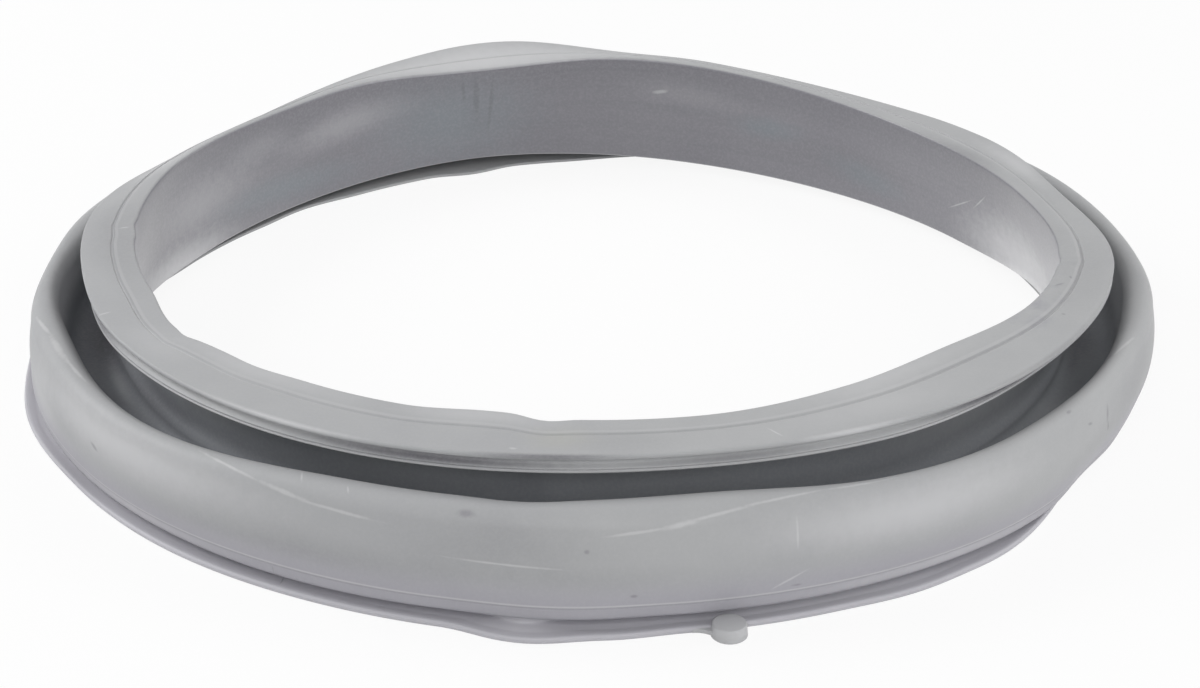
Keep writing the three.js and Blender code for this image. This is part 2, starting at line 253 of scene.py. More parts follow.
# Scuff marks on the roll; the last row is a painted highlight on a crease at the right
ROLL_SCUFFS_AND_CREASE_HIGHLIGHT = [
    (236.8, 123.2, 17.0, 0.7, 11), (243.0, 126.8, 13.0, 1.0, 9), (248.0, 128.7, 19.0, 0.7, 4),
    (274.0, 128.3, 13.0, 0.6, -6), (277.5, 127.0, 7.0, 1.1, -9), (281.0, 125.0, 13.0, 0.6, -8),
    (286.5, 122.4, 17.0, 0.6, -7), (294.0, 120.4, 15.0, 0.7, -2), (201.5, 122.2, 13.0, 0.9, -8),
    (206.8, 121.0, 14.0, 1.6, -2), (212.0, 120.0, 14.0, 0.9, -3), (244.0, 121.0, 3.0, 0.5, 60),
    (248.7, 122.4, 1.8, 0.5, 60), (287.0, 146.5, 7.5, 0.5, -26), (287.5, 132.4, 6.0, 0.5, 90),
    (263.0, 138.0, 22.0, 0.5, 3), (333.0, 120.4, 12.0, 0.9, 14)]
COLLAR_SCUFFS = [
    (288.0, 15.0, 3.6, 0.5, 62), (185.7, 4.5, 3.0, 0.8, 80), (208.6, 19.0, 3.0, 0.7, 85),
    (262.7, 17.5, 1.8, 0.7, 0)]
SLEEVE_SCUFFS = [
    (80.0, 330.5, 5.0, 1.1, -9), (26.7, 320.0, 12.0, 0.5, -28), (22.0, 326.0, 9.0, 0.5, -40)]
NICKS = [
    (219.5, 136.6, 3.0, 0.9, 20), (337.8, 4.2, 3.0, 0.8, 30), (340.2, 6.5, 2.0, 0.6, -20),
    (330.5, 12.6, 0.9, 0.9, 0), (269.7, 133.4, 1.0, 0.9, 0), (273.6, 147.4, 1.6, 0.7, 0),
    (259.5, 124.4, 3.6, 1.6, 0), (287.6, 149.0, 2.2, 0.6, 0), (318.5, 122.5, 1.6, 0.9, 0),
    (325.5, 134.0, 4.0, 1.2, 90), (321.5, 131.4, 2.2, 0.7, 20), (325.8, 138.6, 2.4, 0.9, 80),
    (330.7, 117.0, 1.8, 1.0, 0)]
SEAM = [(241.5, 153.2, 2.4, 0.35, 90), (241.7, 166.5, 3.4, 0.35, 75)]

# Soft boxes: name, place and side in metres, power in watts
LAMPS = [
    ("back_box", (0, 0.9, 1.2), 1.2, 3.7),
    ("front_box", (0, -1.3, 0.9), 0.9, 9.0),
    ("left_box", (-1.2, 0.2, 0.9), 0.9, 12.8),
    ("right_box", (1.2, 0.2, 0.9), 0.9, 6.3),
    ("low_box", (1.5, -0.7, 0.35), 0.8, 5.5),
]
SURROUND_LEVEL = 0.12
FLOOR_SIDE = 12.0
FLOOR_DROP = 0.0003
FLOOR_GREY = 0.94

CAMERA_PITCH = 26.23
CAMERA_DISTANCE = 856
CAMERA_AIM = (2.6, 0, -3.2)
CAMERA_LENS = 75
CAMERA_SENSOR = 36


class SectionPen:
    """Draws the wall's section stroke by stroke. A sample is (radius, height, station,
    softness), and a softness above 0 rounds the corner at that sample."""

    def __init__(self, r, z, station, soft=0.0):
        self.strokes = [np.array([[r, z, station, soft]], float)]

    def line(self, r, z, station, soft=0.0, steps=1):
        """Straight stroke: the start plus t times the way to the end."""
        start = self.strokes[-1][-1]
        t = np.linspace(0, 1, steps + 1)[1:, None]
        stroke = start + t * (np.array([r, z, station, 0]) - start)
        stroke[:, 3] = 0
        stroke[-1, 3] = soft
        self.strokes.append(stroke)
        return self

    def bend(self, pull_r, pull_z, r, z, station, steps):
        """Quadratic curve: (1-t) squared of the start, 2t(1-t) of the pull and t squared of the
        end. The station grows evenly with t."""
        start = self.strokes[-1][-1]
        t = np.linspace(0, 1, steps + 1)[1:, None]
        pull = np.array([pull_r, pull_z, (start[2] + station) / 2, 0])
        end = np.array([r, z, station, 0])
        stroke = (1 - t) ** 2 * start + 2 * t * (1 - t) * pull + t ** 2 * end
        stroke[:, 3] = 0
        self.strokes.append(stroke)
        return self

    def arc(self, r, z, radius, start_angle, end_angle, station, steps):
        """Circular stroke: the centre plus the radius times the cosine and sine of an angle."""
        start = self.strokes[-1][-1]
        t = np.linspace(0, 1, steps + 1)
        angle = np.radians(start_angle + t * (end_angle - start_angle))
        self.strokes.append(np.stack([r + radius * np.cos(angle), z + radius * np.sin(angle),
                                      start[2] + t * (station - start[2]), 0 * t], axis=1))
        return self

    def outline(self):
        """All strokes in a row."""
        return np.concatenate(self.strokes)


def ease_corners(outline, steps=4):
    """Rounds the corners of a closed outline. A corner is cut one softness before and after
    it, but never near the middle of a stroke, and a quadratic curve pulled towards the corner
    joins the two cuts. Samples that then coincide become one."""
    place, soft = outline[:, :3], outline[:, 3:]
    longest_cut = 0.45
    smallest_gap = 1e-5

    def cut(neighbour):
        way = neighbour - place
        length = np.maximum(np.linalg.norm(way[:, :2], axis=1, keepdims=True), 1e-9)
        return place + way * np.minimum(soft, longest_cut * length) / length

    t = np.linspace(0, 1, steps)[:, None, None]
    eased = ((1 - t) ** 2 * cut(np.roll(place, 1, axis=0)) + 2 * t * (1 - t) * place
             + t ** 2 * cut(np.roll(place, -1, axis=0)))
    eased = eased.transpose(1, 0, 2).reshape(-1, 3)
    gap = np.linalg.norm(np.roll(eased, -1, axis=0)[:, :2] - eased[:, :2], axis=1)
    return eased[gap > smallest_gap]


def draw_section():
    """The wall's closed section, clockwise from the mouth: over the collar, down the outside
    of the sleeve, through the channel, over the roll, round the slot and the foot, and back
    along the hidden side."""
    rim_radius = MOUTH_RADIUS + COLLAR_WIDTH
    collar_foot = COLLAR_TOP - COLLAR_EDGE
    line_radius = MOUTH_RADIUS + LINE_INSET
    line_station = MOUTH - LINE_INSET / COLLAR_WIDTH
    band_top = COLLAR_TOP - EDGE_ROUND
    band_foot = collar_foot + 2 * RIDGE_PITCH
    slot_inner = MOUTH_RADIUS + RIM_SLOT_INSET
    slot_outer = slot_inner + RIM_SLOT_WIDTH
    slot_top = collar_foot + RIM_SLOT_DEPTH
    slot_station = MOUTH - (RIM_SLOT_INSET + RIM_SLOT_WIDTH / 2) / COLLAR_WIDTH

    def sleeve_inside(z):
        return MOUTH_RADIUS + SLEEVE_FLARE * (COLLAR_TOP - z) / (COLLAR_TOP - LIP_FOOT)

    def sleeve_outside(z):
        return sleeve_inside(z) + SLEEVE_WALL

    def sleeve_station(z):
        return MOUTH + (COLLAR_TOP - z) / (COLLAR_TOP - LIP_FOOT)

    sleeve_neck = collar_foot - 2 * EDGE_ROUND
    step_top = CHANNEL_FLOOR + 3 * FOOT_STEP
    step_foot = CHANNEL_FLOOR + 1.5 * FOOT_STEP
    fold_inner = sleeve_outside(CHANNEL_FLOOR) + FOOT_STEP
    crest_radius = BELLY_RADIUS - BELLY_REACH - CREST_ROUND
    roll_inner = crest_radius - CREST_ROUND
    fold_middle = (fold_inner + roll_inner) / 2
    roll_foot = CHANNEL_FLOOR + 3 * FOOT_STEP
    crest_height = CREST_TOP - CREST_ROUND
    belly_pull = (crest_height + BELLY_HEIGHT) / 2
    hollow_round = CREST_ROUND - ROLL_WALL
    hollow_inner = crest_radius - hollow_round - ROLL_LEAN
    hollow_floor = CHANNEL_FLOOR - ROLL_WALL
    slot_floor = SHOULDER_RADIUS - PANEL_SLOT_DEPTH
    slot_roof = BEAD_HEIGHT + PANEL_SLOT_GAP
    web_inner = slot_floor - SLOT_WEB
    lip_inner = sleeve_inside(LIP_FOOT)

    pen = SectionPen(MOUTH_RADIUS, COLLAR_TOP, MOUTH, MOUTH_SOFT)
    pen.line(line_radius, COLLAR_TOP, line_station, FINE_SOFT, steps=2)
    pen.line(line_radius + LINE_WIDTH / 2, COLLAR_TOP - LINE_DEPTH, line_station, RIDGE_SOFT)
    pen.line(line_radius + LINE_WIDTH, COLLAR_TOP, line_station, FINE_SOFT)
    pen.line(rim_radius, COLLAR_TOP, RIM, RIM_SOFT, steps=2)
    pen.line(rim_radius, band_top - EDGE_FLAT, RIM, FINE_SOFT)
    pen.bend(rim_radius - 2 * BAND_DEPTH, (band_top + band_foot) / 2,
             rim_radius - RIDGE_DEPTH, band_foot, HEM, 6)
    pen.line(rim_radius, band_foot - RIDGE_PITCH / 2, HEM, RIDGE_SOFT)
    pen.line(rim_radius - RIDGE_DEPTH, band_foot - RIDGE_PITCH, HEM, VALLEY_SOFT)
    pen.line(rim_radius, band_foot - 1.5 * RIDGE_PITCH, HEM, RIDGE_SOFT)
    pen.line(rim_radius - RIDGE_DEPTH, collar_foot, HEM, VALLEY_SOFT)
    pen.line(slot_outer, collar_foot, slot_station, FINE_SOFT, steps=2)
    pen.line(slot_outer, slot_top, slot_station, FINE_SOFT)
    pen.line(slot_inner, slot_top, slot_station, FINE_SOFT)
    pen.line(slot_inner, collar_foot, slot_station, FINE_SOFT)
    pen.line(sleeve_outside(sleeve_neck), sleeve_neck, sleeve_station(sleeve_neck),
             HOLLOW_SOFT)
    pen.line(sleeve_outside(step_top), step_top, sleeve_station(step_top), steps=8)
    pen.bend(fold_inner, step_top - FOOT_STEP, fold_inner, step_foot, NOSE, 5)
    pen.bend(fold_inner, CHANNEL_FLOOR, fold_middle, CHANNEL_FLOOR, FOLD, 6)
    pen.bend(roll_inner - ROLL_LEAN, CHANNEL_FLOOR, roll_inner - ROLL_LEAN, roll_foot,
             ROLL_FOOT, 6)
    pen.line(roll_inner, crest_height, CREST, steps=5)
    pen.arc(crest_radius, crest_height, CREST_ROUND, 180, 0, CREST_END, 18)
    pen.bend(BELLY_RADIUS, belly_pull, BELLY_RADIUS, BELLY_HEIGHT, BELLY, 6)
    pen.bend(BELLY_RADIUS, BELLY_HEIGHT / 2, SHOULDER_RADIUS, SHOULDER_HEIGHT, SHOULDER, 14)
    pen.line(slot_floor, slot_roof, SLOT_FLOOR, HOLLOW_SOFT, steps=3)
    pen.line(slot_floor, BEAD_HEIGHT + BEAD_DIP, SLOT_FLOOR, HOLLOW_SOFT)
    pen.line(BEAD_RADIUS - 4 * BEAD_LAND, BEAD_HEIGHT - BEAD_DIP, BEAD, LAND_SOFT)
    pen.line(BEAD_RADIUS - BEAD_LAND, BEAD_HEIGHT, BEAD, BEAD_SOFT)
    pen.line(BEAD_RADIUS, BEAD_HEIGHT - BEAD_LAND, BEAD, BEAD_SOFT)
    pen.line(BEAD_RADIUS - BEAD_LAND, 0, BEAD, HEEL_SOFT)
    pen.line(LOWER_LIP_RADIUS, 0, LOWER_LIP, LIP_SOFT, steps=6)
    pen.line(LOWER_LIP_RADIUS, LOWER_LIP_TIP, LOWER_LIP, LIP_SOFT)
    pen.line(web_inner, LOWER_LIP_ROOT, BEAD, BEAD_SOFT, steps=6)
    pen.line(web_inner, slot_roof + SLOT_COVER, BEAD, BEAD_SOFT)
    pen.bend(BELLY_RADIUS - ROLL_WALL, slot_roof + SLOT_COVER, BELLY_RADIUS - ROLL_WALL,
             BELLY_HEIGHT, BELLY, 6)
    pen.bend(BELLY_RADIUS - ROLL_WALL, belly_pull, crest_radius + hollow_round, crest_height,
             CREST_END, 2)
    pen.arc(crest_radius, crest_height, hollow_round, 0, 180, CREST, 6)
    pen.line(hollow_inner, roll_foot, ROLL_FOOT, steps=4)
    pen.bend(hollow_inner, hollow_floor, fold_middle, hollow_floor, FOLD, 5)
    pen.line(sleeve_outside(hollow_floor) + LIP_TIP, hollow_floor, NOSE, BEAD_SOFT)
    pen.line(lip_inner + LIP_TIP, LIP_FOOT + LIP_STEP, NOSE, LAND_SOFT)
    pen.line(lip_inner + LIP_TIP, LIP_FOOT, NOSE, LIP_SOFT)
    pen.line(lip_inner, LIP_FOOT, NOSE, LIP_SOFT)
    pen.line(MOUTH_RADIUS, COLLAR_TOP, MOUTH, steps=12)
    return ease_corners(pen.outline()[:-1])


def fall_off(azimuth, at, spread):
    """The squared cosine of the distance from a centre, which falls to 0 at its spread."""
    away = np.abs((azimuth - at + 180) % 360 - 180)
    return np.cos(np.pi / 2 * np.minimum(away / spread, 1)) ** 2


def movement(azimuth):
    """How far each station is moved out and up at each azimuth: the sum of its sets, each
    times its fall-off. Result: stations by azimuths by (out, up)."""
    moves = np.zeros((len(SETS), len(azimuth), 2))
    for station, rows in SETS.items():
        for at, spread, out, up in rows:
            moves[station] += fall_off(azimuth, at, spread)[:, None] * np.array([out, up])
    return moves


def seal_surface(section, azimuth):
    """The seal's wall: azimuths by section samples by (x, y, z) in millimetres. A sample is
    moved by a smooth blend of the sets at the two stations that it lies between, the slot's
    floor is pinched out, and all is then turned round the axis to its azimuth."""
    moves = movement(azimuth)
    low = np.clip(np.floor(section[:, 2]).astype(int), 0, LOWER_LIP - 1)
    part = np.clip(section[:, 2] - low, 0, 1)
    blend = (part ** 2 * (3 - 2 * part))[:, None, None]
    move = (1 - blend) * moves[low] + blend * moves[low + 1]
    at, spread, out = SLOT_PINCH
    depth = np.clip(1 - np.abs(section[:, 2] - SLOT_FLOOR) / (SLOT_FLOOR - SHOULDER), 0, 1)
    move[:, :, 0] += depth[:, None] * out * fall_off(azimuth, at, spread)
    radius = (section[:, 0, None] + move[:, :, 0]).T
    height = (section[:, 1, None] + move[:, :, 1]).T
    angle = np.radians(azimuth)[:, None]
    return np.stack([radius * np.cos(angle), radius * np.sin(angle), height], axis=2)


def torus_quads(steps, count):
    """Quads of a grid that closes on itself both ways."""
    here = np.arange(steps)[:, None] * count
    there = (np.arange(steps)[:, None] + 1) % steps * count
    i = np.arange(count)[None, :]
    j = (i + 1) % count
    return np.stack([here + i, here + j, there + j, there + i], axis=2).reshape(-1, 4)


def stack_faces(rings, count, first):
    """Faces of a closed stack of rings: quads between rings, and a fan to a pole at each
    end. Vertices come as the low pole, the rings, the high pole, numbered from first."""
    i = np.arange(count)
    j = (i + 1) % count
    level = first + 1 + np.arange(rings - 1)[:, None] * count
    sides = np.stack([level + i, level + j, level + count + j, level + count + i], axis=2)
    sides = sides.reshape(-1, 4)
    top = first + 1 + (rings - 1) * count
    low_fan = np.stack([np.full(count, first), first + 1 + j, first + 1 + i], axis=1)
    high_fan = np.stack([np.full(count, top + count), top + i, top + j], axis=1)
    return sides.tolist() + low_fan.tolist() + high_fan.tolist()


def turn_to_lug(points):
    """Turns points from the lug's own X axis to its azimuth on the ring."""
    c, s = math.cos(math.radians(LUG_AZIMUTH)), math.sin(math.radians(LUG_AZIMUTH))
    return points @ np.array([[c, s, 0], [-s, c, 0], [0, 0, 1]])


def lug_button(count=72):
    """The lug's button: a circle carried up an outline that tapers by the draft and is
    rounded at its top edge."""
    radius = LUG_DIAMETER / 2
    foot = radius + LUG_DRAFT
    t = np.linspace(0, math.pi / 2, 6)
    reach = np.concatenate([[foot - LUG_FOOT_ROUND, foot],
                            radius - LUG_TOP_ROUND + LUG_TOP_ROUND * np.cos(t)])
    level = np.concatenate([[0, LUG_FOOT_ROUND],
                            LUG_HEIGHT - LUG_TOP_ROUND + LUG_TOP_ROUND * np.sin(t)])
    angle = np.linspace(0, 2 * np.pi, count, endpoint=False)
    centre = BEAD_RADIUS + LUG_REACH - radius
    x = centre + reach[:, None] * np.cos(angle)
    y = reach[:, None] * np.sin(angle)
    z = level[:, None] + 0 * x
    rings = np.stack([x, y, z], axis=2).reshape(-1, 3)
    points = np.concatenate([[[centre, 0, 0]], rings, [[centre, 0, LUG_HEIGHT]]])
    return turn_to_lug(points), len(level), count


def lug_web(steps=16):
    """The lug's web: a plate whose outline runs from the bead into the button by a hollow
    arc on each side. An arc's centre lies one fillet from the bead and from the button, and
    an inset outline keeps the centres and widens the arcs. Five outlines, each inset a little,
    round the plate's edges."""
    radius = LUG_DIAMETER / 2
    centre = BEAD_RADIUS + LUG_REACH - radius
    pole = np.array([BEAD_RADIUS - 2, 0])
    depth = BEAD_HEIGHT - BEAD_LAND

    def hollow(fillet, inset):
        away, reach = BEAD_RADIUS + fillet, radius + fillet
        turn = math.acos((away ** 2 + centre ** 2 - reach ** 2) / (2 * away * centre))
        x, y = away * math.cos(turn), away * math.sin(turn)
        angle = np.linspace(math.atan2(-y, centre - x), turn - math.pi, steps)
        wide = fillet + inset
        return np.column_stack([x + wide * np.cos(angle), y + wide * np.sin(angle)])

    def outline(inset, z):
        root = BEAD_RADIUS - LEFT_FILLET
        right = hollow(RIGHT_FILLET, inset)
        left = hollow(LEFT_FILLET, inset)[::-1] * [1, -1]
        flat = np.concatenate([[[root, left[0, 1]]], left, [[centre, 0]], right,
                               [[root, right[-1, 1]]]])
        return np.column_stack([flat, np.full(len(flat), z)])

    rings = [outline(BEAD_LAND, 0), outline(0.15, depth - 0.4), outline(0.05, depth - 0.15),
             outline(0.2, depth + 0.1), outline(0.6, depth + 0.25)]
    points = np.concatenate([[[*pole, 0]], *rings, [[*pole, depth + 0.25]]])
    return turn_to_lug(points), len(rings), len(rings[0])


def make_seal():
    """The whole seal as one mesh: the wall's surface, then the lug's button and web. The map
    "wall" holds the azimuth as a share of the turn, and the way along the section as a share
    of its length."""
    section = draw_section()
    azimuth = np.arange(RING_STEPS) * 360 / RING_STEPS
    wall = seal_surface(section, azimuth)
    count = len(section)
    stride = np.linalg.norm(np.roll(section, -1, axis=0)[:, :2] - section[:, :2], axis=1)
    across = np.concatenate([[0], np.cumsum(stride)])

    quads = torus_quads(RING_STEPS, count)
    u = np.arange(RING_STEPS + 1) / RING_STEPS
    v = across / across[-1]
    step = np.repeat(np.arange(RING_STEPS), count)
    i = np.tile(np.arange(count), RING_STEPS)
    corners = [(u[step], v[i]), (u[step], v[i + 1]),
               (u[step + 1], v[i + 1]), (u[step + 1], v[i])]
    wall_map = np.stack([np.column_stack(corner) for corner in corners], axis=1).reshape(-1, 2)

    points = [wall.reshape(-1, 3)]
    faces = quads.tolist()
    for part_points, rings, part_count in (lug_button(), lug_web()):
        faces += stack_faces(rings, part_count, sum(map(len, points)))
        points.append(part_points)
    points = np.concatenate(points)

    lows, highs = points.min(axis=0), points.max(axis=0)
    shift = np.array([-(lows[0] + highs[0]) / 2, -(lows[1] + highs[1]) / 2, -lows[2]])
    mesh = bpy.data.meshes.new("seal_wall")
    mesh.from_pydata((points + shift) * MM, [], faces)
    mesh.polygons.foreach_set("use_smooth", np.ones(len(mesh.polygons), bool))
    layer = mesh.uv_layers.new(name="wall")
    lug_map = np.tile([LUG_AZIMUTH / 360, 0.6], (len(mesh.loops) - len(wall_map), 1))
    layer.data.foreach_set("uv", np.concatenate([wall_map, lug_map]).ravel())
    mesh.update()
    piece = bpy.data.objects.new("seal_wall", mesh)
    bpy.context.scene.collection.objects.link(piece)
    return piece, shift, section, across


class Shade:
    """A socket in a node tree. Arithmetic on it adds Math nodes."""

    def __init__(self, nodes, socket):
        self.nodes = nodes
        self.socket = socket

    def maths(self, operation, *values):
        return self.nodes.node("ShaderNodeMath", {"operation": operation}, dict(enumerate(values)))

    def __add__(self, other):
        return self.maths("ADD", self, other)

    def __radd__(self, other):
        return self.maths("ADD", other, self)

    def __sub__(self, other):
        return self.maths("SUBTRACT", self, other)

    def __rsub__(self, other):
        return self.maths("SUBTRACT", other, self)

    def __mul__(self, other):
        return self.maths("MULTIPLY", self, other)

    def __rmul__(self, other):
        return self.maths("MULTIPLY", other, self)

    def over(self, other):
        return self.maths("MAXIMUM", self, other)

    def rise(self, low, high):
        """Smooth step: 0 at low and below, 1 at high and above."""
        settings = {"interpolation_type": "SMOOTHSTEP", "clamp": True}
        return self.nodes.node("ShaderNodeMapRange", settings,
                               {"Value": self, "From Min": low, "From Max": high})

    def band(self, low, high, soft):
        """1 between low and high, and 0 from one softness beyond them."""
        return self.rise(low - soft, low) * (1 - self.rise(high, high + soft))


class Nodes:
    """The nodes of a material or of the surround, added one call at a time."""

    def __init__(self, tree):
        self.tree = tree
        tree.nodes.clear()

    def node(self, kind, settings=None, values=None, output=0):
        """Adds a node: first its settings, then the value or link of each socket that is
        named or numbered, and hands back one output."""
        node = self.tree.nodes.new(kind)
        for name, setting in (settings or {}).items():
            setattr(node, name, setting)
        for name, value in (values or {}).items():
            if isinstance(value, Shade):
                self.tree.links.new(value.socket, node.inputs[name])
            else:
                node.inputs[name].default_value = value
        return Shade(self, node.outputs[output])

    def noise(self, vector, scale, detail, roughness):
        values = {"Vector": vector, "Scale": scale, "Detail": detail, "Roughness": roughness}
        return self.node("ShaderNodeTexNoise", {"noise_dimensions": "3D"}, values)

    def vector(self, x, y, z):
        return self.node("ShaderNodeCombineXYZ", None, {"X": x, "Y": y, "Z": z})

    def parts(self, vector):
        split = self.node("ShaderNodeSeparateXYZ", None, {0: vector}).socket.node
        return [Shade(self, socket) for socket in split.outputs]

    def dot(self, vector, other):
        settings = {"operation": "DOT_PRODUCT"}
        return self.node("ShaderNodeVectorMath", settings, {0: vector, 1: other}, output=1)

    def length(self, vector):
        return self.node("ShaderNodeVectorMath", {"operation": "LENGTH"}, {0: vector}, output=1)

    def mix(self, factor, first, second):
        """Mixes two colours."""
        settings = {"data_type": "RGBA", "blend_type": "MIX", "clamp_factor": True}
        return self.node("ShaderNodeMix", settings, {0: factor, 6: first, 7: second}, output=2)

    def seen_by(self, *rays):
        """1 for the named kinds of ray and 0 for the others."""
        path = self.node("ShaderNodeLightPath").socket.node
        seen, *others = [Shade(self, path.outputs[ray]) for ray in rays]
        for other in others:
            seen = seen.over(other)
        return seen

    def show(self, kind, shader):
        """Adds an output node and links the shader to its surface."""
        output = self.tree.nodes.new(kind)
        self.tree.links.new(shader.socket, output.inputs["Surface"])


def tint(name):
    return (*TINTS[name], 1)


class Finish(Nodes):
    """A material on its own nodes."""

    def __init__(self, name):
        self.material = bpy.data.materials.new(name)
        self.material.use_nodes = True
        super().__init__(self.material.node_tree)

    def wear(self, shader):
        self.show("ShaderNodeOutputMaterial", shader)
        return self.material


class WallFinish(Finish):
    """A finish that follows the wall. It reads the map "wall" back as the azimuth in degrees
    and the way along the section in millimetres, and lays marks at such places."""

    def __init__(self, name, section, across):
        super().__init__(name)
        self.section, self.across = section, across
        self.place = self.node("ShaderNodeTexCoord", None, None, "Object")
        self.x, self.y, _ = self.parts(self.place)
        turn, share, _ = self.parts(self.node("ShaderNodeUVMap", {"uv_map": "wall"}))
        self.azimuth = turn * 360
        self.way = share * float(across[-1])
        self.cloud = self.noise(self.place, 9, 3, 0.5)
        self.mottle = self.noise(self.place, 55, 3, 0.55)
        self.fleck = self.noise(self.place, 320, 2, 0.6)
        self.grain = self.noise(self.place, 1000, 2, 0.6)
        self.streak = self.noise(self.vector(self.x * 8, self.y * 8, self.way * 0.5), 1.0, 3, 0.55)
        self.flecks = self.fleck - 0.5
        self.flatten()

    def flatten(self):
        """Lays the wall flat in millimetres, once cut at the right and once at the left."""
        self.arc = math.radians(1) * BELLY_RADIUS
        self.left_wall = self.vector(self.azimuth * self.arc, self.way, 1.0)
        half_turns = self.node("ShaderNodeMath", {"operation": "WRAP"},
                               {0: self.azimuth, 1: 180.0, 2: -180.0})
        self.right_wall = self.vector(half_turns * self.arc, self.way, 1.0)

    def way_at(self, r, height):
        """The way of the section's sample that lies nearest to a radius and height."""
        away = np.hypot(self.section[:, 0] - r, self.section[:, 1] - height)
        return float(self.across[np.argmin(away)])

    def spot(self, at, centre, half_length, half_width, tilt=0.0, soft=0.8, ragged=None):
        """A soft ellipse on the wall: 1 minus the rise of the distance from its centre, with
        the distance measured in its half length and half width. Flecks make its edge ragged."""
        near_right = at % 360 < 90 or at % 360 > 270
        flat = self.right_wall if near_right else self.left_wall
        side = ((at + 180) % 360 - 180 if near_right else at) * self.arc
        c, s = math.cos(math.radians(tilt)), math.sin(math.radians(tilt))
        ahead = self.dot(flat, np.array([c, s, -c * side - s * centre]) / half_length)
        beside = self.dot(flat, np.array([-s, c, s * side - c * centre]) / half_width)
        distance = self.length(self.vector(ahead, beside, 0.0))
        if ragged:
            distance = distance + ragged
        return distance.rise(1.0, 1.0 - soft)

    def marks(self, rows, ragged=0.0):
        """The spots of all rows: at each place the strongest of them."""
        edge = self.flecks * ragged if ragged else None
        total = self.spot(*rows[0], ragged=edge)
        for row in rows[1:]:
            total = total.over(self.spot(*row, ragged=edge))
        return total

    def patches(self, parts_of_wall):
        """The sum of wide soft patches, each times its strength: painted light in one call,
        painted shade in the other.
        """
        edge = self.flecks * 0.25
        total = 0.0
        for rows in parts_of_wall.values():
            for *patch, strength in rows:
                total = total + self.spot(*patch, soft=1.0, ragged=edge) * strength
        return total

    def lay(self, colour, name, factor):
        """Lays a tint over a colour."""
        return self.mix(factor, colour, tint(name))


def outside_colour(wall, collar, low_roll_shade):
    """The roll and the collar: clouds and mottle, purple grey painted shade low on the roll, a
    yellowish stain, a rub at the kink and a smudge on the collar."""
    colour = wall.mix(wall.cloud.rise(0.35, 0.68) * 0.45, tint("rubber"), tint("light rubber"))
    colour = wall.lay(colour, "mottle", wall.mottle.rise(0.3, 0.8) * 0.22)
    # Painted shade, purple grey, from below the crest down over the moulding line and the slot
    colour = wall.lay(colour, "low roll", low_roll_shade * 0.65)
    stain = wall.spot(267, 11, 17, 9, 0, 1.0, wall.flecks * 0.6)
    colour = wall.lay(colour, "stain", stain * 0.35)
    rub = wall.spot(263.5, 160, 16, 11, 0, 1.0, wall.flecks * 0.8)
    colour = wall.lay(colour, "rub", rub * 0.35)
    smudge = wall.spot(331, 6, 46, 7, 0, 0.9, wall.flecks * 1.1)
    smudge = smudge * wall.mottle.rise(0.42, 0.60) * collar
    return wall.lay(colour, "smudge", smudge * 0.60)


def sleeve_colour(wall, lip_way):
    """The sleeve: purple grey, with pale clouds, bluish stains, streaks round it, a painted
    highlight along the lip's edge, a few drips and a darker top."""
    colour = wall.mix(wall.cloud.rise(0.4, 0.65) * 0.5, tint("sleeve"), tint("light sleeve"))
    colour = wall.lay(colour, "streak", wall.streak.rise(0.42, 0.75) * 0.30)
    cloudy = 0.5
    clouds = wall.marks(CLOUDS, cloudy)
    clouds = clouds.over(wall.spot(*FAINT_CLOUD, wall.flecks * cloudy) * 0.4)
    colour = wall.lay(colour, "cloud", clouds * 0.75)
    colour = wall.lay(colour, "bluish", wall.marks(BLUISH_STAINS, cloudy) * 0.70)
    # A painted highlight along the lip's edge
    lip = wall.way.band(lip_way - 0.4, lip_way + 0.2, 0.4)
    colour = wall.lay(colour, "lip", lip * 0.55)
    colour = wall.lay(colour, "drip", wall.marks(DRIPS, 0.9) * 0.45)
    return wall.lay(colour, "sleeve top", wall.way.rise(326, 342) * 0.30)


